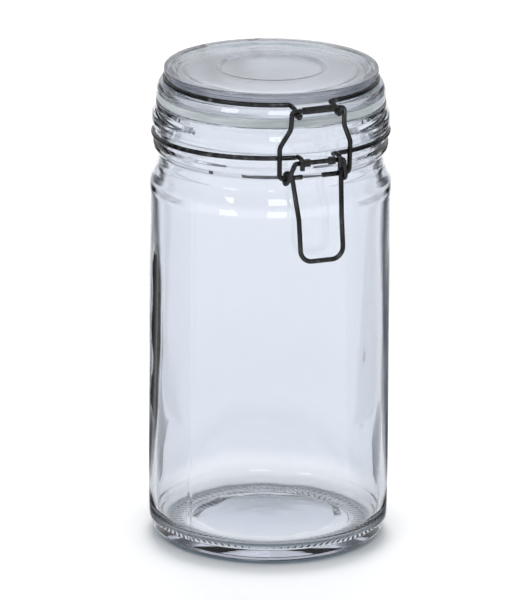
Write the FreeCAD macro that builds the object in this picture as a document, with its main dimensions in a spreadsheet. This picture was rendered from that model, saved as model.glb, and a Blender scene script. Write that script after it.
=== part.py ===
"""Clip-top storage jar: glass jar and lid, rubber gasket and a steel wire clasp.

Frame: millimetres, +Z up, origin at the centre of the base. The clasp faces -Y
and the lid's hinge is at +Y. Everything is drawn with the jar shut.
"""
import FreeCAD, Part
import math
import os

import Sketcher

SIZES = {
    # jar
    "body_radius": 50.0,
    "body_wall": 3.1,
    "wall_height": 153.0,
    "heel_radius": 7.5,
    "floor_height": 6.0,
    "floor_corner": 9.4,
    "foot_ring_inset": 13.8,
    "foot_ring_slope": 2.0,
    "foot_ring_depth": 1.4,
    "push_up": 2.4,
    "shoulder_rise": 4.1,
    "shoulder_inset": 1.6,
    "shoulder_outer_arc": 6.0,
    "shoulder_inner_arc": 5.1,
    "neck_inset": 3.1,
    "neck_rise": 3.6,
    "mouth_inset": 7.6,
    "mouth_foot_rise": 3.0,
    "inner_shoulder_drop": 4.0,
    "collar_inset": 1.4,
    "collar_base": 165.5,
    "collar_height": 5.0,
    "collar_flare": 3.2,
    "collar_bevel": 1.4,
    "seat_inset": 2.8,
    "seat_height": 176.5,
    "bead_inset": 0.9,
    "bead_height": 3.4,
    "bead_round": 6.0,
    "bead_rise": 4.0,
    "bead_edge_width": 0.7,
    "bead_edge_height": 0.9,
    "lip_inset": 2.4,
    "lip_top": 187.0,
    "lip_bevel": 0.9,
    # gasket and lid
    "seal_clearance": 0.1,
    "gasket_thickness": 3.5,
    "gasket_round": 0.6,
    "gasket_inner_inset": 7.5,
    "gasket_outer_inset": 2.8,
    "flange_height": 4.1,
    "flange_taper": 1.3,
    "flange_edge_taper": 0.3,
    "flange_edge_height": 1.9,
    "plug_inset": 8.2,
    "plug_depth": 2.2,
    "plug_width": 2.6,
    "plug_bevel": 0.5,
    "plug_slope": 3.0,
    "groove_inset": 7.5,
    "groove_height": 3.8,
    "rim_inset": 5.6,
    "rim_round": 1.3,
    "rim_width": 4.0,
    "dish_depth": 0.3,
    "dish_edge": 1.0,
    "recess_radius": 21.8,
    "recess_edge": 1.2,
    "recess_depth": 0.8,
    "lid_hollow": 6.6,
    # wires
    "wire_radius": 1.0,
    "pin_clearance": 0.08,
    "neck_wire_gap": 0.3,
    "neck_wire_drop": 1.8,
    "neck_wire_slope": 0.033,
    "neck_wire_run": 3.4,
    "lid_wire_gap": 0.35,
    "lid_wire_lift": 0.5,
    "lid_wire_run": 3.6,
    "tight_bend": 1.2,
    "wire_bend": 1.5,
    "wide_bend": 2.2,
    "waist_bend": 5.0,
    "knee_bend": 12.0,
    # clasp, by distance from the jar's axis, height, and offset to each side
    "axle_out": 4.0,
    "axle_height": 174.5,
    "axle_left": 11.3,
    "axle_right": 9.9,
    "hook_left": 8.9,
    "hook_right": 7.4,
    "hook_tip": 2.4,
    "hook_throat": 2.6,
    "crimp_length": 2.8,
    "crimp_height": 2.9,
    "crimp_thickness": 1.5,
    "crimp_inset": 1.3,
    "splice_half_length": 1.0,
    "coil_drop": 6.4,
    "coil_setback": 2.2,
    "coil_left": 12.8,
    "coil_right": 8.8,
    "coil_pitch": 2.15,
    "handle_out": 6.4,
    "handle_foot": 133.4,
    "handle_half_width": 9.3,
    "knee_height": 151.0,
    "knee_left": 10.0,
    "knee_right": 8.7,
    "handle_corner": 5.0,
    "bar_out": 1.7,
    "bar_height": 195.7,
    "bar_left": 11.9,
    "bar_right": 10.9,
    "link_waist_top": 188.4,
    "link_waist_foot": 181.2,
    "link_splay": 0.4,
    "link_flare": 0.4,
    "link_foot_bend": 1.8,
    "link_clearance": 0.3,
    "bar_flat_length": 13.6,
    "bar_flat_height": 3.0,
    "bar_flat_thickness": 1.8,
    "stub_left": 7.4,
    "stub_right": 1.5,
    "jay_left": 9.2,
    "jay_right": 8.0,
    "jay_gap": 0.3,
    "jay_tip": 1.4,
    "jay_flare": 0.3,
    "jay_toe": 0.6,
    "jay_heel": 1.3,
    "jay_slope": 3.6,
    "jay_drop": 0.4,
    # hinge
    "hinge_out": 4.32,
    "hinge_height": 179.5,
    "hinge_half_width": 12.0,
    "hinge_drop": 0.3,
    "eye_spread": 7.4,
    "eye_lead": 0.9,
    "eye_slack": 0.25,
    "eye_tail": 1.4,
}

SLACK = 0.05            # how much tighter a bend is than the path that it rounds off
EYE_SLACK = 0.1

doc = FreeCAD.newDocument("ClipTopJar")


def make_sheet():
    """Write every size into a spreadsheet cell with an alias."""
    sheet = doc.addObject("Spreadsheet::Sheet", "Sizes")
    for row, (name, number) in enumerate(SIZES.items(), start=1):
        sheet.set(f"A{row}", name)
        sheet.set(f"B{row}", str(number))
        sheet.setAlias(f"B{row}", name)
    doc.recompute()
    return sheet


SHEET = make_sheet()


class Size:
    """A length with its number and the expression that binds a sketch to it."""

    def __init__(self, number, text):
        self.number = number
        self.text = text

    @staticmethod
    def of(other):
        return other if isinstance(other, Size) else Size(float(other), repr(float(other)))

    def __add__(self, other):
        other = Size.of(other)
        return Size(self.number + other.number, f"({self.text} + {other.text})")

    def __sub__(self, other):
        other = Size.of(other)
        return Size(self.number - other.number, f"({self.text} - {other.text})")


def size(name):
    """The named cell as a Size."""
    return Size(float(SHEET.get(name)), f"Sizes.{name}")


def num(name):
    """The named cell as a plain number."""
    return float(SHEET.get(name))


# ---------------------------------------------------------------- turned pieces

def inset(name):
    """Radius that lies this far inside the body's outer wall."""
    return size("body_radius") - size(name)


def outward(name):
    """Distance from the jar's axis that lies this far outside the body's wall."""
    return num("body_radius") + num(name)


def arc_centre(start, end, radius, side):
    """Centre of the arc of this radius from start to end; side +1 is left of the chord."""
    dx = end[0] - start[0]
    dz = end[1] - start[1]
    chord = math.hypot(dx, dz)
    rise = math.sqrt(max(radius * radius - chord * chord / 4.0, 0.0))
    return (
        (start[0] + end[0]) / 2.0 - side * rise * dz / chord,
        (start[1] + end[1]) / 2.0 + side * rise * dx / chord,
    )


def arc_geometry(start, end, radius, side):
    """Sketch arc from start to end, drawn the way Sketcher stores it."""
    centre = arc_centre(start, end, radius, side)
    first = math.atan2(start[1] - centre[1], start[0] - centre[0])
    last = math.atan2(end[1] - centre[1], end[0] - centre[0])
    if side < 0:
        first, last = last, first
    circle = Part.Circle(FreeCAD.Vector(*centre, 0), FreeCAD.Vector(0, 0, 1), radius)
    return Part.ArcOfCircle(circle, first, last)


def bind(sketch, constraint, length):
    """Add a dimension to the sketch and tie it to the sheet."""
    index = sketch.addConstraint(constraint)
    sketch.setExpression(f"Constraints[{index}]", length.text)


def turned_body(label, outline):
    """Revolve a closed outline about Z.

    The outline is a list of (radius, height, arc): arc is None for a straight
    edge to the next corner, or (arc radius, side) for a curved one.
    """
    body = doc.addObject("PartDesign::Body", label)
    sketch = body.newObject("Sketcher::SketchObject", label + "_outline")
    plane = [p for p in body.Origin.OriginFeatures if p.Role == "XZ_Plane"][0]
    sketch.AttachmentSupport = [(plane, "")]
    sketch.MapMode = "FlatFace"
    corners = [(r.number, z.number) for r, z, _ in outline]
    count = len(outline)
    ends = []
    for i, (_, _, arc) in enumerate(outline):
        start = corners[i]
        end = corners[(i + 1) % count]
        if arc is None:
            a = FreeCAD.Vector(start[0], start[1], 0)
            b = FreeCAD.Vector(end[0], end[1], 0)
            sketch.addGeometry(Part.LineSegment(a, b), False)
            ends.append((1, 2))
        else:
            sketch.addGeometry(arc_geometry(start, end, arc[0].number, arc[1]), False)
            ends.append((1, 2) if arc[1] > 0 else (2, 1))
    for i in range(count):
        j = (i + 1) % count
        sketch.addConstraint(Sketcher.Constraint("Coincident", i, ends[i][1], j, ends[j][0]))
    for i, (r, z, arc) in enumerate(outline):
        point = ends[i][0]
        if r.number == 0.0:
            sketch.addConstraint(Sketcher.Constraint("PointOnObject", i, point, -2))
        else:
            bind(sketch, Sketcher.Constraint("DistanceX", -1, 1, i, point, r.number), r)
        if z.number == 0.0:
            sketch.addConstraint(Sketcher.Constraint("PointOnObject", i, point, -1))
        else:
            bind(sketch, Sketcher.Constraint("DistanceY", -1, 1, i, point, z.number), z)
        if arc is not None:
            bind(sketch, Sketcher.Constraint("Radius", i, arc[0].number), arc[0])
    turn = body.newObject("PartDesign::Revolution", label + "_turn")
    turn.Profile = sketch
    turn.ReferenceAxis = (sketch, ["V_Axis"])
    turn.Angle = 360.0
    body.Label = label
    return body


ZERO = Size(0.0, "0")


def jar_body():
    """Hollow glass jar: heel, straight wall, shoulder, collar, wire seat, bead and lip."""
    outer = size("body_radius")
    inner = outer - size("body_wall")
    heel = size("heel_radius")
    wall_top = size("wall_height")
    mid = wall_top + size("shoulder_rise")
    neck = inset("neck_inset")
    floor = size("floor_height")
    corner = size("floor_corner")
    collar = size("collar_base")
    seat = inset("seat_inset")
    seat_top = size("seat_height")
    bead = inset("bead_inset")
    bead_top = seat_top + size("bead_height")
    lip = inset("lip_inset")
    top = size("lip_top")
    mouth = inset("mouth_inset")
    collar_top = collar + size("collar_height")
    bevel = size("lip_bevel")
    ring = inset("foot_ring_inset")
    return turned_body("jar_body", [
        (ZERO, size("push_up"), None),
        (ring - size("foot_ring_slope"), size("foot_ring_depth"), None),
        (ring, ZERO, None),
        (outer - heel, ZERO, (heel, 1)),
        (outer, heel, None),
        (outer, wall_top, (size("shoulder_outer_arc"), 1)),
        (outer - size("shoulder_inset"), mid, (size("shoulder_inner_arc"), -1)),
        (neck, mid + size("neck_rise"), None),
        (neck, collar, None),
        (inset("collar_inset"), collar + size("collar_flare"), None),
        (inset("collar_inset"), collar_top - size("collar_bevel"), None),
        (seat, collar_top, None),
        (seat, seat_top, None),
        (bead - size("bead_edge_width"), seat_top, None),
        (bead, seat_top + size("bead_edge_height"), None),
        (bead, bead_top, (size("bead_round"), 1)),
        (lip, bead_top + size("bead_rise"), None),
        (lip, top - bevel, None),
        (lip - bevel, top, None),
        (mouth + bevel, top, None),
        (mouth, top - bevel, None),
        (mouth, mid + size("mouth_foot_rise"), None),
        (inner, wall_top - size("inner_shoulder_drop"), None),
        (inner, floor + corner, (corner, -1)),
        (inner - corner, floor, None),
        (ZERO, floor, None),
    ])


def seal_top():
    """Height of the gasket's upper face, which carries the lid."""
    return size("lip_top") + size("seal_clearance") + size("gasket_thickness")


def gasket():
    """Flat rubber ring between the jar's lip and the lid's flange."""
    low = size("lip_top") + size("seal_clearance")
    high = seal_top()
    outer = inset("gasket_outer_inset")
    inner = inset("gasket_inner_inset")
    soft = size("gasket_round")
    return turned_body("gasket", [
        (inner, low, None),
        (outer - soft, low, (soft, 1)),
        (outer, low + soft, None),
        (outer, high - soft, (soft, 1)),
        (outer - soft, high, None),
        (inner, high, None),
    ])


def lid():
    """Glass lid: plug, flange, wire groove, rounded rim, shallow dish and centre recess."""
    base = seal_top()
    flange = inset("gasket_outer_inset")
    flange_top = base + size("flange_height")
    groove = inset("groove_inset")
    rim = inset("rim_inset")
    soft = size("rim_round")
    rim_axis = flange_top + size("groove_height") + soft
    top = rim_axis + soft
    dish = top - size("dish_depth")
    recess = size("recess_radius")
    recess_floor = dish - size("recess_depth")
    plug = inset("plug_inset")
    plug_low = base - size("plug_depth")
    plug_inner = plug - size("plug_width")
    ceiling = top - size("lid_hollow")
    crest = rim - size("rim_width")
    return turned_body("lid", [
        (ZERO, ceiling, None),
        (plug_inner - size("plug_slope"), ceiling, None),
        (plug_inner, plug_low, None),
        (plug - size("plug_bevel"), plug_low, None),
        (plug, base, None),
        (flange, base, None),
        (flange - size("flange_edge_taper"), base + size("flange_edge_height"), None),
        (flange - size("flange_taper"), flange_top, None),
        (groove, flange_top, None),
        (groove, rim_axis - soft, None),
        (rim - soft, rim_axis - soft, (soft, 1)),
        (rim, rim_axis, (soft, 1)),
        (rim - soft, top, None),
        (crest + size("dish_edge"), top, None),
        (crest, dish, None),
        (recess, dish, None),
        (recess - size("recess_edge"), recess_floor, None),
        (ZERO, recess_floor, None),
    ])


# ------------------------------------------------------------------ bent wires

def bent_path(points, bends):
    """Edges through the points with a tangent arc of the given radius at each bend."""
    edges = []
    start = points[0]
    for i in range(1, len(points) - 1):
        before = (points[i - 1] - points[i]).normalize()
        after = (points[i + 1] - points[i]).normalize()
        half = before.getAngle(after) / 2.0
        reach = bends[i - 1] / math.tan(half)
        enter = points[i] + before * reach
        leave = points[i] + after * reach
        inward = (before + after).normalize()
        middle = points[i] + inward * (bends[i - 1] / math.sin(half) - bends[i - 1])
        if (enter - start).Length > 1e-6:
            edges.append(Part.LineSegment(start, enter).toShape())
        edges.append(Part.Arc(enter, middle, leave).toShape())
        start = leave
    edges.append(Part.LineSegment(start, points[-1]).toShape())
    return edges


def wire_solid(edges):
    """Round wire of the shared radius, swept along the edges."""
    spine = Part.Wire(edges)
    first = edges[0]
    start = first.valueAt(first.FirstParameter)
    along = first.tangentAt(first.FirstParameter)
    section = Part.Wire([Part.makeCircle(num("wire_radius"), start, along)])
    tube = spine.makePipeShell([section], True, False)
    return tube


def feature(label, shape):
    """Document object that carries a shape made with Part's own functions."""
    piece = doc.addObject("Part::Feature", label)
    piece.Shape = shape
    piece.Placement = FreeCAD.Placement()
    piece.Label = label
    return piece


def at(offset, reach, height):
    """Point on the clasp side: offset to the right, reach out from the axis."""
    return FreeCAD.Vector(offset, -reach, height)


def back(offset, reach, height):
    """Point on the hinge side."""
    return FreeCAD.Vector(offset, reach, height)


class Ring:
    """Circle of wire round the jar, with the clasp side raised by a slope."""

    def __init__(self, radius, height, slope=0.0):
        self.radius = radius
        self.height = height
        self.slope = slope

    def spot(self, angle):
        """Point at an angle from +X."""
        x = self.radius * math.cos(angle)
        y = self.radius * math.sin(angle)
        return FreeCAD.Vector(x, y, self.height - self.slope * y)

    def angle(self, side, offset, end):
        """Angle of the point at this offset; end -1 is the clasp and 1 the hinge."""
        return end * math.pi / 2.0 - end * side * math.asin(offset / self.radius)

    def leave(self, side, offset, run, end):
        """Points where a wire leaves the ring: on the ring, and run further along its tangent."""
        angle = self.angle(side, offset, end)
        start = self.spot(angle)
        nudge = self.spot(angle + end * side * 1e-4)
        return start, start + (nudge - start).normalize() * run

    def arc(self, side, front, rear):
        """Arc on one side, from offset front at the clasp to offset rear at the hinge."""
        first = self.angle(side, front, -1)
        last = self.angle(side, rear, 1)
        if side < 0:
            last -= 2.0 * math.pi
        middle = (first + last) / 2.0
        return Part.Arc(self.spot(first), self.spot(middle), self.spot(last)).toShape()


def one_wire(ring, ends, rear_points, rear, rear_bends):
    """Ring of wire with two ends at the clasp and a bridge at the hinge.

    ends holds (points, bends, offset) for the right and the left: the points run
    from the tip to the ring, which they meet at that offset. rear_points run from
    the middle of the bridge to the ring's right side, and are mirrored.
    """
    halves = []
    for side, (points, bends, offset) in zip((1, -1), ends):
        bridge = [FreeCAD.Vector(side * p.x, p.y, p.z) for p in rear_points]
        edges = bent_path(bridge, rear_bends)
        edges.append(ring.arc(side, offset, rear))
        edges += bent_path(points, bends)[::-1]
        halves.append(wire_solid(edges))
    return halves[0].fuse(halves[1]).removeSplitter()


def neck_ring():
    radius = inset("seat_inset").number + num("neck_wire_gap") + num("wire_radius")
    height = num("seat_height") - num("wire_radius") - num("neck_wire_drop")
    return Ring(radius, height, num("neck_wire_slope"))


def lid_ring():
    radius = inset("groove_inset").number + num("lid_wire_gap") + num("wire_radius")
    flange_top = seal_top().number + num("flange_height")
    return Ring(radius, flange_top + num("wire_radius") + num("lid_wire_lift"))


def fit_radius():
    """Centreline radius of a wire bent round another wire with a running clearance."""
    return 2.0 * num("wire_radius") + num("pin_clearance")


def neck_wire():
    """Wire round the neck: two hooks over the lever's axle, two eyes at the hinge."""
    ring = neck_ring()
    fit = fit_radius()
    run = num("neck_wire_run")
    bend = num("wire_bend")
    axle = outward("axle_out")
    level = num("axle_height")
    ends = []
    for side, name in ((1, "hook_right"), (-1, "hook_left")):
        start, corner = ring.leave(side, num(name) + run, run, -1)
        points = [
            at(corner.x, axle + fit, level - num("hook_tip")),
            at(corner.x, axle + fit, level + fit),
            at(corner.x, axle - num("hook_throat"), level + fit),
            corner,
            start,
        ]
        ends.append((points, [fit - SLACK, bend, bend], num(name) + run))
    hinge = outward("hinge_out")
    axis = num("hinge_height")
    rear = num("eye_spread") + run
    pitch = num("coil_pitch") + num("eye_slack")
    low = axis - fit - num("eye_lead")
    start, corner = ring.leave(1, rear, run, 1)
    rear_points = [
        back(0.0, hinge - fit, low),
        back(corner.x - pitch, hinge - fit, low),
        back(corner.x - 2.0 * pitch / 3.0, hinge - fit, axis + fit),
        back(corner.x - pitch / 3.0, hinge + fit, axis + fit),
        back(corner.x, hinge + fit, axis - fit),
        back(corner.x, hinge - fit - num("eye_tail"), axis - fit),
        corner,
        start,
    ]
    rear_bends = [num("tight_bend")] + [fit - EYE_SLACK] * 3 + [bend, bend]
    return feature("neck_wire", one_wire(ring, ends, rear_points, rear, rear_bends))


def lid_wire():
    """Wire round the lid: two hooks under the link's bar, one bar through the hinge eyes."""
    ring = lid_ring()
    under = 2.0 * num("wire_radius") + num("jay_gap")
    bar = outward("bar_out")
    level = num("bar_height")
    run = num("lid_wire_run")
    bend = num("wire_bend")
    wide = num("wide_bend")
    ends = []
    for side, name in ((1, "jay_right"), (-1, "jay_left")):
        start, corner = ring.leave(side, num(name) + run, run, -1)
        points = [
            at(corner.x, bar + under + num("jay_flare"), level - under + num("jay_tip")),
            at(corner.x, bar + under - num("jay_toe"), level - under),
            at(corner.x, bar - num("jay_heel"), level - under),
            at(corner.x, bar - num("jay_slope"), ring.height - num("jay_drop")),
            corner,
            start,
        ]
        ends.append((points, [num("tight_bend"), bend, bend, bend], num(name) + run))
    rear = num("hinge_half_width") + run
    start, corner = ring.leave(1, rear, run, 1)
    rear_points = [
        back(0.0, outward("hinge_out"), num("hinge_height")),
        back(corner.x, outward("hinge_out"), num("hinge_height")),
        back(corner.x, outward("hinge_out"), ring.height - num("hinge_drop")),
        corner,
        start,
    ]
    return feature("lid_wire", one_wire(ring, ends, rear_points, rear, [wide, wide, wide]))


def pin_reach():
    return outward("axle_out") - num("coil_setback")


def pin_height():
    return num("axle_height") - num("coil_drop")


def coil_turn(side, inner):
    """Corners of one turn round the link's pin, from the outer pass to the handle's leg."""
    fit = fit_radius()
    reach = pin_reach()
    level = pin_height()
    outer = inner + num("coil_pitch")
    step = num("coil_pitch") / 4.0
    return [
        at(side * outer, reach + fit, level - fit),
        at(side * (outer - step), reach - fit, level - fit),
        at(side * (outer - 2.0 * step), reach - fit, level + fit),
        at(side * inner, reach + fit, level + fit),
    ]


def lever():
    """Handle with its axle, two cranks, and an eye in each crank for the link's pins."""
    fit = fit_radius()
    level = num("axle_height")
    reach = outward("axle_out")
    foot = num("handle_foot")
    out = outward("handle_out")
    half = num("handle_half_width")
    right = coil_turn(1, num("coil_right"))
    left = coil_turn(-1, num("coil_left"))
    splice = num("splice_half_length")
    knee = num("knee_height")
    slope = (level - knee) / (level - foot)
    knee_reach = reach + (out - reach) * slope
    points = [
        at(splice, reach, level),
        at(num("axle_right"), reach, level),
        *right,
        at(num("knee_right"), knee_reach, knee),
        at(half, out, foot),
        at(-half, out, foot),
        at(-num("knee_left"), knee_reach, knee),
        *reversed(left),
        at(-num("axle_left"), reach, level),
        at(-splice, reach, level),
    ]
    tight = num("tight_bend")
    corner = num("handle_corner")
    knee_bend = num("knee_bend")
    coil = [fit - SLACK] * 3 + [num("wire_bend")]
    bends = [tight, *coil, knee_bend, corner, corner, knee_bend, *reversed(coil), tight]
    shape = wire_solid(bent_path(points, bends))
    shape = shape.fuse(Part.makeCylinder(
        num("wire_radius"), 2.0 * splice, points[-1], FreeCAD.Vector(1, 0, 0)))
    tall = num("crimp_height")
    thin = num("crimp_thickness")
    long = num("crimp_length")
    gap = num("crimp_inset")
    for edge in (gap - num("hook_left"), num("hook_right") - gap - long):
        corner = at(edge, reach + thin / 2.0, level - tall / 2.0)
        shape = shape.fuse(Part.makeBox(long, thin, tall, corner))
    return feature("lever", shape.removeSplitter())


def link():
    """Bail: bar in the lid wire's hooks, two waisted legs, and pins through the lever's eyes."""
    reach = outward("bar_out")
    bar = num("bar_height")
    pin = pin_reach()
    level = pin_height()
    waist = num("link_waist_top")
    foot = num("link_waist_foot")
    splay = num("link_splay")
    beside = num("coil_pitch") + 2.0 * num("wire_radius") + num("link_clearance")
    left = num("coil_left") + beside
    right = num("coil_right") + beside
    bar_left = num("bar_left")
    bar_right = num("bar_right")
    points = [
        at(-num("stub_left"), pin, level),
        at(-left, pin, level),
        at(-left, pin, foot),
        at(-bar_left - num("link_flare"), reach, waist),
        at(-bar_left, reach, bar),
        at(bar_right, reach, bar),
        at(bar_right, reach, waist),
        at(right + splay, pin, foot),
        at(right, pin, level),
        at(num("stub_right"), pin, level),
    ]
    side_bends = [num("link_foot_bend"), num("waist_bend"), num("waist_bend"), num("wire_bend")]
    bends = side_bends + side_bends[::-1]
    shape = wire_solid(bent_path(points, bends))
    long = num("bar_flat_length")
    tall = num("bar_flat_height") / 2.0
    thin = num("bar_flat_thickness") / 2.0
    middle = at((bar_right - bar_left - long) / 2.0, reach, bar)
    section = Part.Ellipse(FreeCAD.Vector(0, 0, 0), tall, thin).toShape()
    section.rotate(FreeCAD.Vector(0, 0, 0), FreeCAD.Vector(0, 1, 0), 90)
    section.translate(middle)
    flat = Part.Face(Part.Wire([section])).extrude(FreeCAD.Vector(long, 0, 0))
    return feature("link", shape.fuse(flat).removeSplitter())


def check(pieces):
    """Stop if any object failed to rebuild or any piece is not a sound solid."""
    for item in doc.Objects:
        if "Invalid" in item.State or "Error" in item.State:
            raise RuntimeError(f"{item.Label} did not rebuild")
    for piece in pieces:
        if piece.Shape.isNull() or not piece.Shape.isValid():
            raise RuntimeError(f"{piece.Label} has no sound shape")
        if len(piece.Shape.Solids) != 1 or piece.Shape.Volume < 1.0:
            raise RuntimeError(f"{piece.Label} is not one solid")
        print(piece.Label, round(piece.Shape.Volume, 1), piece.Shape.BoundBox)


def main():
    pieces = [jar_body(), gasket(), lid(), neck_wire(), lid_wire(), lever(), link()]
    doc.recompute()
    check(pieces)
    os.makedirs("parts", exist_ok=True)
    for piece in pieces:
        piece.Shape.exportStep(f"parts/{piece.Label}.step")


main()
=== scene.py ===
"""Clip-top jar: clear glass jar and lid, pale gasket and dark wire clasp on a white floor.

Sizes, outlines and places by height or radius are in millimetres. The meshes, the floor, the
cards, the lights and the camera are in metres.
"""
import math

import bpy
import numpy as np
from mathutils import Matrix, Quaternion, Vector


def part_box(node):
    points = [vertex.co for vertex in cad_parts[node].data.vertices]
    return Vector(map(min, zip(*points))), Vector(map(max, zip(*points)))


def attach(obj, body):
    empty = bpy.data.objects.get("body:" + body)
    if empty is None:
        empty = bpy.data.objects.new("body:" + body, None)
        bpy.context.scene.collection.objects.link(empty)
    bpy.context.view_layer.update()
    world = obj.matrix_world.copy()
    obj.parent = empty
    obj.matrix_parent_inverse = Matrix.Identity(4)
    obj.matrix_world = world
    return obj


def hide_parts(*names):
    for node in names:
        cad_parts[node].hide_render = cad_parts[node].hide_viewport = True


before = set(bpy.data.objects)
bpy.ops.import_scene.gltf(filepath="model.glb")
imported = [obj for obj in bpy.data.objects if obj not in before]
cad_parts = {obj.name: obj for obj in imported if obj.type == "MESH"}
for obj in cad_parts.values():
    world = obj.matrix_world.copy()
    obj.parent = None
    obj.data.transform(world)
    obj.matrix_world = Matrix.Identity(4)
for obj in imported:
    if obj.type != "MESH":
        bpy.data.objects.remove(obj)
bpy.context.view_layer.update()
MM = 0.001

# ------------------------------------------------------------- sizes from the frame

jar_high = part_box("jar_body")[1]
lid_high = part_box("lid")[1]
gasket_low, gasket_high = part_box("gasket")

BODY = jar_high.x / MM              # outside radius of the straight wall
LIP_TOP = jar_high.z / MM
SEAL_LOW = gasket_low.z / MM
SEAL_TOP = gasket_high.z / MM
FLANGE = gasket_high.x / MM         # outside radius of the gasket and the lid's flange
LID_TOP = lid_high.z / MM

# places on the jar, as in its CAD outline
WALL = 3.1                          # thickness
WALL_TOP = LIP_TOP - 34.0
NECK = BODY - 3.1
COLLAR = BODY - 1.4
COLLAR_LOW = LIP_TOP - 21.5
SEAT = BODY - 2.8                   # radius behind the neck wire
SEAT_TOP = LIP_TOP - 10.5
BEAD = BODY - 0.9
LIP = SEAT + 0.4
MOUTH = BODY - 7.6
HEEL = 7.5
FLOOR = 6.0
FLOOR_CORNER = 9.4
PUSH_UP = 2.4                       # height of the underside in its middle

# places on the lid, as in its CAD outline
PLUG = FLANGE - 5.4
PLUG_LOW = SEAL_TOP - 2.2
FLANGE_TOP = SEAL_TOP + 4.1
GROOVE = FLANGE - 4.7               # radius behind the lid wire
GROOVE_TOP = LID_TOP - 2.5
RIM = FLANGE - 2.8
UNDERSIDE = LID_TOP - 6.6
DISH = LID_TOP - 0.35               # height of the dished top
RECESS = 20.6                       # radius of the recess in its middle

# fine relief of the glass, which the CAD solids leave out
SEAMS = (math.radians(-152.5), math.radians(27.5))
SEAM_HEIGHT = 0.12
SEAM_WIDTH = 0.8
FOOT_RING = 38.9                    # middle of the ring that the jar stands on
FOOT_WIDTH = 4.6
RIDGES = 84                         # short radial ridges on that ring
RIDGE_HEIGHT = 0.75
POOL = 29.0                         # middle of the uneven edge of the inside's floor
POOL_WIDTH = 9.0
WAVY_MIDDLE = 85.0                  # height where the inner wall is most wavy
WAVY_REACH = 66.0

AZIMUTH = math.radians(-22.2)       # of the camera round the jar, from the clasp's front


# ------------------------------------------------------------- meshes

def new_piece(name, points, faces):
    """Object with this mesh, in the scene."""
    mesh = bpy.data.meshes.new(name)
    mesh.from_pydata(points, [], faces)
    piece = bpy.data.objects.new(name, mesh)
    bpy.context.scene.collection.objects.link(piece)
    return piece


def rounded_corner(before, here, after, radius, steps):
    """Points along the arc that rounds the corner here, between its two neighbours."""
    reach_before = np.linalg.norm(before - here)
    reach_after = np.linalg.norm(after - here)
    before = (before - here) / reach_before
    after = (after - here) / reach_after
    half = math.acos(np.clip(before @ after, -1.0, 1.0)) / 2.0
    cut = min(radius / math.tan(half), 0.49 * reach_before, 0.49 * reach_after)
    radius = cut * math.tan(half)
    middle = (before + after) / np.linalg.norm(before + after)
    centre = here + middle * radius / math.sin(half)
    first = here + before * cut - centre
    last = here + after * cut - centre
    turn = math.atan2(first[0] * last[1] - first[1] * last[0], first @ last)
    points = []
    for step in range(steps + 1):
        angle = turn * step / steps
        c, s = math.cos(angle), math.sin(angle)
        points.append(centre + [c * first[0] - s * first[1], s * first[0] + c * first[1]])
    return points


def rounded(outline, steps=7):
    """Points of a closed (r, z, radius) outline with each corner rounded by its radius."""
    corners = [np.array(row[:2]) for row in outline]
    points = []
    for i, (_, _, radius) in enumerate(outline):
        if radius > 0.0:
            after = corners[(i + 1) % len(corners)]
            points += rounded_corner(corners[i - 1], corners[i], after, radius, steps)
        else:
            points.append(corners[i])
    return np.array(points)


def divided(points, longest):
    """The same open outline with no stretch longer than this."""
    result = [points[0]]
    for a, b in zip(points, points[1:]):
        parts = max(1, math.ceil(np.linalg.norm(b - a) / longest))
        result += [a + (b - a) * k / parts for k in range(1, parts + 1)]
    return np.array(result)


def turned(name, outline, segments, shape=None, ring=False, longest=6.0):
    """Mesh turned round Z. A solid outline runs from the axis to the axis; a ring's is closed.

    shape(r, z, angle) gives the radius and height that replace r and z.
    """
    points = rounded(outline)
    if ring:
        points = divided(np.vstack([points, points[:1]]), longest)[:-1]
    else:
        points = divided(points, longest)
    angles = np.arange(segments) * 2.0 * math.pi / segments
    inside = points if ring else points[1:-1]
    r = np.repeat(inside[:, 0], segments).reshape(-1, segments)
    z = np.repeat(inside[:, 1], segments).reshape(-1, segments)
    t = np.tile(angles, (len(inside), 1))
    if shape:
        r, z = shape(r, z, t)
    grid = np.stack([r * np.cos(t), r * np.sin(t), z], axis=-1).reshape(-1, 3)
    rows = len(inside)
    faces = []
    for i in range(rows if ring else rows - 1):
        j = (i + 1) % rows
        for k in range(segments):
            m = (k + 1) % segments
            faces.append((i * segments + k, i * segments + m, j * segments + m, j * segments + k))
    if not ring:
        first, last = len(grid), len(grid) + 1
        grid = np.vstack([grid, [0, 0, points[0][1]], [0, 0, points[-1][1]]])
        for k in range(segments):
            m = (k + 1) % segments
            faces.append((first, m, k))
            faces.append((last, (rows - 1) * segments + k, (rows - 1) * segments + m))
    piece = new_piece(name, (grid * MM).tolist(), faces)
    piece.data.validate()
    piece.data.shade_smooth()
    return piece


def bump(x, centre, width):
    """Smooth bump of height 1 at the centre, gone at width to each side."""
    return np.where(abs(x - centre) < width, 0.5 + 0.5 * np.cos(np.pi * (x - centre) / width), 0.0)


def turn_from(angle, centre):
    """Angle from a centre, wrapped to -pi..pi."""
    return (angle - centre + np.pi) % (2.0 * np.pi) - np.pi


def pool_edge(t):
    """How far the edge of the inside's floor strays from a circle."""
    return 1.6 * np.sin(2.0 * t + 0.7) + 0.8 * np.sin(5.0 * t) + 0.4 * np.sin(11.0 * t)


def wall_wave(z, t):
    """How far the inner wall strays from a cylinder."""
    broad = 0.2 * np.sin(3.0 * t + 0.4 + z / 31.0) + 0.2 * np.sin(7.0 * t - z / 47.0)
    upright = 0.1 * np.sin(16.0 * t + 1.3 + 0.6 * np.sin(z / 23.0))
    level = 0.22 * np.sin(z / 6.0 + 2.0 * t) * np.sin(z / 29.0 + t)
    return broad + upright + level


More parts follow.
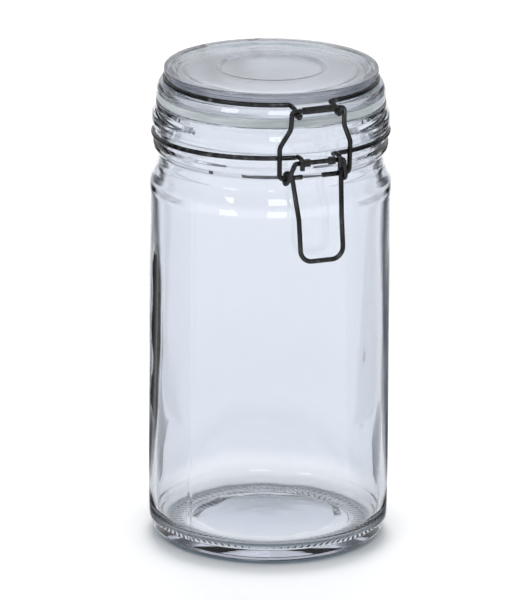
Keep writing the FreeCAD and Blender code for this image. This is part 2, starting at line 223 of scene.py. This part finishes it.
def jar_shape(r, z, t):
    """Pressed glass: mould seams, ridged foot ring, uneven floor and wavy inner wall."""
    outside = r > BODY - 1.2
    for seam in SEAMS:
        away = turn_from(t, seam) * r
        r = r + np.where(outside, SEAM_HEIGHT * bump(away, 0.0, SEAM_WIDTH), 0.0)
    foot = np.where(z < 2.2, bump(r, FOOT_RING, FOOT_WIDTH), 0.0)
    z = z + foot * RIDGE_HEIGHT * (0.5 - 0.5 * np.cos(RIDGES * t))
    inner_floor = (z > FLOOR / 2.0) & (z < FLOOR + 0.3)
    r = r + np.where(inner_floor, bump(r, POOL, POOL_WIDTH), 0.0) * pool_edge(t)
    inner_wall = (r < BODY - 1.5) & (r > BODY - 8.0)
    r = r + np.where(inner_wall, bump(z, WAVY_MIDDLE, WAVY_REACH), 0.0) * wall_wave(z, t)
    return r, z


def lid_shape(r, z, t):
    """Two fine turned rings in the lid's top, as the mould leaves them."""
    fine = 0.16 * bump(r, 32.7, 1.4) + 0.1 * bump(r, 12.0, 1.2)
    return r, z - np.where(z > GROOVE_TOP, fine, 0.0)


jar_outline = [
    # underside and foot ring
    (0.0, PUSH_UP, 0.0),
    (34.2, 1.6, 2.0),
    (36.4, 0.0, 1.2),
    (BODY - HEEL - 1.0, 0.0, 2.0),
    # heel and straight wall
    (BODY - 1.8, 1.9, 4.4),
    (BODY, 8.2, 5.0),
    (BODY, WALL_TOP + 1.4, 5.0),
    # shoulder and neck
    (NECK + 1.2, WALL_TOP + 4.8, 3.0),
    (NECK, WALL_TOP + 7.6, 4.0),
    (NECK, COLLAR_LOW, 2.6),
    # collar, and the seat of the neck wire
    (COLLAR, COLLAR_LOW + 2.6, 1.6),
    (COLLAR, COLLAR_LOW + 4.4, 0.8),
    (SEAT, COLLAR_LOW + 5.4, 0.6),
    (SEAT, SEAT_TOP, 0.5),
    # bead and lip
    (BEAD, SEAT_TOP + 0.1, 1.0),
    (BEAD, SEAT_TOP + 5.0, 3.0),
    (LIP, LIP_TOP - 2.6, 1.6),
    (LIP, LIP_TOP, 0.9),
    (MOUTH, LIP_TOP, 1.2),
    # inside: neck, shoulder, wall and floor
    (MOUTH, WALL_TOP + 7.8, 5.0),
    (BODY - WALL, WALL_TOP - 4.0, 6.0),
    (BODY - WALL, FLOOR, FLOOR_CORNER),
    (31.5, FLOOR, 1.0),
    (28.5, FLOOR - 0.7, 1.0),
    (12.0, FLOOR - 0.9, 6.0),
    (0.0, FLOOR - 0.9, 0.0),
]

lid_outline = [
    # underside and plug
    (0.0, UNDERSIDE, 0.0),
    (PLUG - 5.6, UNDERSIDE, 3.0),
    (PLUG - 2.6, PLUG_LOW, 0.7),
    (PLUG - 0.4, PLUG_LOW, 0.7),
    (PLUG, SEAL_TOP, 0.3),
    # flange, and the groove of the lid wire
    (FLANGE, SEAL_TOP, 0.6),
    (FLANGE - 0.2, SEAL_TOP + 2.2, 1.0),
    (FLANGE - 1.3, FLANGE_TOP, 0.8),
    (GROOVE, FLANGE_TOP, 0.8),
    (GROOVE, GROOVE_TOP, 0.7),
    # rim
    (RIM, GROOVE_TOP - 0.1, 1.25),
    (RIM, LID_TOP, 1.25),
    (RIM - 3.4, LID_TOP, 0.5),
    (RIM - 4.4, DISH, 0.5),
    # dish, and the recess in its middle
    (RECESS + 2.6, DISH, 0.5),
    (RECESS + 1.6, LID_TOP - 0.1, 0.5),
    (RECESS, LID_TOP - 1.3, 0.6),
    (0.0, LID_TOP - 1.1, 0.0),
]

gasket_outline = [
    (MOUTH + 0.1, SEAL_LOW, 0.5),
    (FLANGE, SEAL_LOW, 1.1),
    (FLANGE, SEAL_TOP, 1.1),
    (MOUTH + 0.1, SEAL_TOP, 0.5),
]


# ------------------------------------------------------------- materials

class Nodes:
    """The node tree of a material or a world, with short calls to add and join its nodes."""

    def __init__(self, owner, output):
        owner.use_nodes = True
        self.tree = owner.node_tree
        self.tree.nodes.clear()
        self.out = self.add(output)

    def give(self, node, inputs):
        """Fill inputs, by name or number: a socket is joined, a number or a colour is set."""
        for key, value in inputs.items():
            if isinstance(value, bpy.types.NodeSocket):
                self.tree.links.new(value, node.inputs[key])
            else:
                node.inputs[key].default_value = value

    def add(self, kind, inputs=None, **settings):
        """A new node with these settings and inputs."""
        node = self.tree.nodes.new(kind)
        for key, value in settings.items():
            setattr(node, key, value)
        self.give(node, inputs or {})
        return node

    def place(self):
        """Where a point lies on its piece, in metres."""
        return self.add("ShaderNodeTexCoord").outputs["Object"]

    def noise(self, scale, detail=3.0, stretch=(1.0, 1.0, 1.0)):
        """Noise of 0..1, finer along an axis where stretch is larger."""
        place = self.add("ShaderNodeMapping", {"Vector": self.place(), "Scale": stretch})
        texture = self.add("ShaderNodeTexNoise", {"Vector": place.outputs["Vector"],
                                                  "Scale": scale, "Detail": detail})
        return texture.outputs["Fac"]

    def ramp(self, source, stops):
        """Colours or grey levels at places along 0..1."""
        node = self.add("ShaderNodeValToRGB", {"Fac": source})
        elements = node.color_ramp.elements
        while len(elements) < len(stops):
            elements.new(0.5)
        for element, (place, value) in zip(elements, stops):
            colour = value if isinstance(value, tuple) else (value, value, value)
            element.position = place
            element.color = (*colour, 1.0)
        return node.outputs["Color"]

    def compute(self, operation, *values):
        """Result of a math node on sockets or numbers."""
        node = self.add("ShaderNodeMath", dict(enumerate(values)), operation=operation)
        return node.outputs["Value"]

    def product(self, first, second):
        """Two colours or places multiplied part by part."""
        node = self.add("ShaderNodeVectorMath", {0: first, 1: second}, operation="MULTIPLY")
        return node.outputs["Vector"]

    def step(self, source, start, end):
        """0 where a length is start and 1 where it is end, both in millimetres."""
        node = self.add("ShaderNodeMapRange", {"Value": source, "From Min": start * MM,
                                               "From Max": end * MM})
        return node.outputs["Result"]

    def within(self, height, reach):
        """1 inside a place round Z and 0 outside: (0 at, 1 at) for the height and the radius."""
        place = self.place()
        upright = self.add("ShaderNodeSeparateXYZ", {"Vector": place}).outputs["Z"]
        flat = self.product(place, (1.0, 1.0, 0.0))
        radius = self.add("ShaderNodeVectorMath", {0: flat}, operation="LENGTH").outputs["Value"]
        return self.compute("MULTIPLY", self.step(upright, *height), self.step(radius, *reach))

    def bump(self, source, strength, distance, under=None):
        """Normal of a bumped surface, on top of another bump if there is one under it."""
        inputs = {"Height": source, "Strength": strength, "Distance": distance}
        if under:
            inputs["Normal"] = under
        return self.add("ShaderNodeBump", inputs).outputs["Normal"]

    def mix(self, share, first, second):
        """Shader that is the first at share 0 and the second at share 1."""
        return self.add("ShaderNodeMixShader", {0: share, 1: first, 2: second}).outputs["Shader"]


def new_material(name):
    """An empty material and its nodes."""
    material = bpy.data.materials.new(name)
    return material, Nodes(material, "ShaderNodeOutputMaterial")


def rim_shade_mask(n):
    """1 in a thin line round the lid, just under its rim, where the glass's colour gets a painted
    shade.
    """
    reach = (GROOVE, GROOVE + 0.3)
    below_rim = n.within((LID_TOP - 2.2, LID_TOP - 2.4), reach)
    above_groove = n.within((LID_TOP - 3.1, LID_TOP - 2.9), reach)
    return n.compute("MULTIPLY", below_rim, above_groove)


def glass(name, skin, stipple=0.0):
    """Clear pressed glass with faint waves and wipe marks, lit through without caustics.

    Its colour is darkened by painted shade in a line under the lid's rim and made paler by painted
    light in the base, and the heel casts a deeper shade. stipple is how rough the underside of
    the pressed lid is.
    """
    material, n = new_material(name)
    # painted light: in the base the glass's colour turns paler than its skin
    base = n.within((20.0, 12.0), (26.0, 34.0))
    clear = n.ramp(base, [(0.0, skin), (0.8, BASE_PAINTED_LIGHT)])
    # painted shade: the glass's colour drops to 0.16 in the thin line under the lid's rim
    painted_rim_shade = n.ramp(rim_shade_mask(n), [(0.0, 1.0), (1.0, 0.16)])
    smudge = n.ramp(n.noise(60.0, 4.0), [(0.45, 0.0), (0.8, 0.03)])
    under_lid = n.within((UNDERSIDE + 1.2, UNDERSIDE + 1.0), (PLUG - 2.6, PLUG - 3.0))
    wave = n.bump(n.noise(26.0, 1.0, (1.0, 1.0, 0.35)), 0.06, 0.004)
    ripple = n.bump(n.noise(95.0, 2.0, (1.0, 1.0, 0.5)), 0.03, 0.001, wave)
    shader = n.add("ShaderNodeBsdfPrincipled", {
        "Transmission Weight": 1.0,
        "IOR": 1.5,
        "Base Color": n.product(clear, painted_rim_shade),
        "Roughness": n.compute("MULTIPLY_ADD", under_lid, stipple, smudge),
        "Normal": ripple,
    })
    heel = n.within((16.0, 6.0), (34.0, 44.0))
    shade = n.ramp(heel, [(0.0, WALL_SHADE), (1.0, HEEL_SHADE)])
    through = n.add("ShaderNodeBsdfTransparent", {"Color": shade})
    path = n.add("ShaderNodeLightPath").outputs
    soft = n.compute("MAXIMUM", path["Is Shadow Ray"], path["Is Diffuse Ray"])
    volume = n.add("ShaderNodeVolumeAbsorption", {"Color": (*TINT, 1.0), "Density": TINT_DENSITY})
    n.give(n.out, {"Surface": n.mix(soft, shader.outputs["BSDF"], through.outputs["BSDF"]),
                   "Volume": volume.outputs["Volume"]})
    return material


def rubber(name):
    """Milky silicone with a little light inside and a fine moulded grain."""
    material, n = new_material(name)
    streaks = n.noise(60.0, 3.0, (1.0, 1.0, 14.0))
    shader = n.add("ShaderNodeBsdfPrincipled", {
        "Base Color": n.ramp(streaks, [(0.35, (0.42, 0.47, 0.5)), (0.55, (0.55, 0.6, 0.63)),
                                       (0.75, (0.66, 0.7, 0.73))]),
        "Roughness": n.ramp(n.noise(400.0), [(0.3, 0.32), (0.7, 0.5)]),
        "Normal": n.bump(n.noise(900.0), 0.15, 0.0002),
        "Subsurface Weight": 0.5,
        "Subsurface Radius": (1.0, 1.0, 0.9),
        "Subsurface Scale": 0.003,
    })
    n.give(n.out, {"Surface": shader.outputs["BSDF"]})
    return material


def wire_metal(name):
    """Dark burnished steel wire, with drawn streaks and rubbed spots."""
    material, n = new_material(name)
    worn = n.noise(420.0, 4.0, (1.0, 1.0, 0.22))
    shader = n.add("ShaderNodeBsdfPrincipled", {
        "Metallic": 0.85,
        "Base Color": n.ramp(worn, [(0.35, (0.018, 0.018, 0.019)), (0.6, (0.045, 0.045, 0.047)),
                                    (0.78, (0.17, 0.17, 0.18))]),
        "Roughness": n.ramp(n.noise(500.0, 2.0), [(0.3, 0.18), (0.7, 0.3)]),
        "Normal": n.bump(n.noise(1400.0, 2.0), 0.12, 0.0001),
    })
    n.give(n.out, {"Surface": shader.outputs["BSDF"]})
    return material


def floor_paper(name):
    """Pale seamless paper with a barely visible tooth."""
    material, n = new_material(name)
    shader = n.add("ShaderNodeBsdfPrincipled", {
        "Base Color": n.ramp(n.noise(300.0), [(0.2, (0.945, 0.945, 0.95)),
                                              (0.8, (0.965, 0.965, 0.97))]),
        "Roughness": 0.9,
        "Specular IOR Level": 0.1,
    })
    n.give(n.out, {"Surface": shader.outputs["BSDF"]})
    return material


def felt(name):
    """Dark felt of the studio's cards, thinning out to nothing at their upright edges."""
    material, n = new_material(name)
    tone = n.ramp(n.noise(200.0), [(0.3, (0.035, 0.042, 0.055)), (0.7, (0.06, 0.068, 0.085))])
    shader = n.add("ShaderNodeBsdfDiffuse", {"Color": tone})
    nothing = n.add("ShaderNodeBsdfTransparent")
    cover = n.add("ShaderNodeAttribute", attribute_name="cover").outputs["Fac"]
    n.give(n.out, {"Surface": n.mix(cover, nothing.outputs["BSDF"], shader.outputs["BSDF"])})
    return material


# ------------------------------------------------------------- the pieces

JAR_SKIN = (0.815, 0.842, 0.883)
LID_SKIN = (0.855, 0.88, 0.92)
# painted light: the paler glass colour given to the base
BASE_PAINTED_LIGHT = (0.97, 0.975, 0.98)
TINT = (0.4, 0.45, 0.6)             # what is left of light that runs on inside the glass
TINT_DENSITY = 10.0
WALL_SHADE = (0.96, 0.968, 0.975)
HEEL_SHADE = (0.12, 0.18, 0.22)

jar = turned("jar_glass", jar_outline, 504, jar_shape)
lid = turned("lid_glass", lid_outline, 256, lid_shape)
seal = turned("gasket_ring", gasket_outline, 192, ring=True, longest=1.0)

for piece, node, body, slot, material in (
    (jar, "jar_body", "jar", "clear_glass", glass("jar_clear_glass", JAR_SKIN)),
    (lid, "lid", "lid", "clear_glass", glass("lid_clear_glass", LID_SKIN, stipple=0.28)),
    (seal, "gasket", "lid", "gasket_rubber", rubber("milky_silicone")),
):
    piece.data.materials.append(material)
    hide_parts(node)
    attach(piece, body)

dark_wire = wire_metal("dark_wire_metal")
for node in ("neck_wire", "lid_wire", "lever", "link"):
    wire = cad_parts[node]
    for material_slot in wire.material_slots:
        material_slot.material = dark_wire
    for face in wire.data.polygons:
        face.use_smooth = True


# ------------------------------------------------------------- floor and cards

FLOOR_REACH = 4.0
CARD_REACH = 0.8                    # from the jar's middle to the upright part of a card
CARD_LIFT = 0.0006                  # of the flat part of a card above the floor

floor_corners = [(x * FLOOR_REACH, y * FLOOR_REACH, 0.0)
                 for x, y in ((-1, -1), (1, -1), (1, 1), (-1, 1))]
floor = new_piece("floor", floor_corners, [(0, 1, 2, 3)])
floor.data.materials.append(floor_paper("floor_paper"))


def dark_card(name, first, last, height=0.3, beside=0.058, seen_through=True):
    """Dark card beside and behind the jar, on the floor and upright, between two angles.

    Its inner edge runs straight back past the jar's side, at this distance beside the middle.
    The camera never sees it straight on. Mirrored in glass and wire it darkens their sides, and
    where it is seen through the glass it also draws the glass's edges.
    """
    angles = np.radians(np.linspace(first, last, 25))
    behind = math.pi / 2.0 + AZIMUTH
    nearest = beside / abs(np.sin(angles - behind))
    count = len(angles)
    far = np.full(count, CARD_REACH)
    rings = ((nearest, CARD_LIFT), (far, CARD_LIFT), (far, height))
    spots = [(r * math.cos(a), r * math.sin(a), z) for reach, z in rings
             for r, a in zip(reach, angles)]
    faces = [(i * count + k, i * count + k + 1, (i + 1) * count + k + 1, (i + 1) * count + k)
             for i in range(len(rings) - 1) for k in range(count - 1)]
    card = new_piece(name, spots, faces)
    across = np.sin(np.linspace(0.0, math.pi, count)) ** 0.4
    cover = card.data.attributes.new("cover", "FLOAT", "POINT")
    cover.data.foreach_set("value", np.tile(across, len(rings)).astype(np.float32))
    card.data.materials.append(dark_felt)
    card.visible_camera = False
    card.visible_diffuse = False
    card.visible_shadow = False
    card.visible_transmission = seen_through


dark_felt = felt("dark_felt")
dark_card("left_card", 92.0, 118.0, beside=0.06)
dark_card("right_card", 18.0, 44.0)
dark_card("left_side_card", 116.0, 178.0, height=0.6, seen_through=False)
dark_card("right_side_card", -42.0, 20.0, height=0.6, seen_through=False)


# ------------------------------------------------------------- light, sky and camera

AIM = Vector((0.0, 0.0, 0.1))       # the jar's middle, which the lamps and the camera face
CAMERA_AWAY = 2.5
CAMERA_HEIGHT = 0.88
CAMERA_LEAN = math.radians(0.46)    # roll of the camera


def area_light(name, spot, size, watts, shows=True):
    """Rectangular softbox facing the jar; shows says if it is seen in and through the glass."""
    lamp = bpy.data.lights.new(name, "AREA")
    lamp.shape = "RECTANGLE"
    lamp.size, lamp.size_y = size
    lamp.energy = watts
    light = bpy.data.objects.new(name, lamp)
    light.location = spot
    light.rotation_euler = (AIM - Vector(spot)).to_track_quat("-Z", "Y").to_euler()
    light.visible_glossy = shows
    light.visible_transmission = shows
    bpy.context.scene.collection.objects.link(light)


area_light("back_softbox", (0.75, 1.85, 2.3), (1.4, 1.4), 52.0, shows=False)
area_light("left_softbox", (-1.6, -0.55, 1.7), (0.6, 0.55), 6.0)
area_light("front_softbox", (-0.35, -1.65, 1.7), (0.75, 0.5), 6.0)
area_light("right_softbox", (1.5, -0.5, 0.8), (0.4, 1.2), 3.0, shows=False)


def sky(n, levels, strength=1.0):
    """Background whose grey changes with height above the horizon."""
    toward = n.add("ShaderNodeTexCoord").outputs["Generated"]
    rise = n.add("ShaderNodeSeparateXYZ", {"Vector": toward}).outputs["Z"]
    background = n.add("ShaderNodeBackground", {"Color": n.ramp(rise, levels),
                                                "Strength": strength})
    return background.outputs["Background"]


world = bpy.data.worlds.new("studio")
bpy.context.scene.world = world
air = Nodes(world, "ShaderNodeOutputWorld")
path = air.add("ShaderNodeLightPath").outputs
backdrop = sky(air, [(0.0, 0.9), (0.6, 1.0)], strength=0.6)
for ray, levels in (
    ("Is Glossy Ray", [(0.0, 0.8), (0.35, 0.8), (0.8, 0.6)]),
    ("Is Transmission Ray", [(0.0, 1.0), (0.3, 0.95), (0.8, 0.65)]),
    ("Is Camera Ray", [(0.0, 1.0), (1.0, 1.0)]),
):
    backdrop = air.mix(path[ray], backdrop, sky(air, levels))
air.give(air.out, {"Surface": backdrop})

lens = bpy.data.cameras.new("camera")
lens.sensor_width = 36.0
lens.lens = 378.0
lens.shift_x = -0.0084
camera = bpy.data.objects.new("camera", lens)
camera.location = (CAMERA_AWAY * math.sin(AZIMUTH), -CAMERA_AWAY * math.cos(AZIMUTH),
                   CAMERA_HEIGHT)
facing = (AIM - camera.location).to_track_quat("-Z", "Y")
camera.rotation_mode = "QUATERNION"
camera.rotation_quaternion = facing @ Quaternion((0.0, 0.0, 1.0), CAMERA_LEAN)
bpy.context.scene.collection.objects.link(camera)
bpy.context.scene.camera = camera

bpy.context.scene.view_settings.view_transform = "Standard"
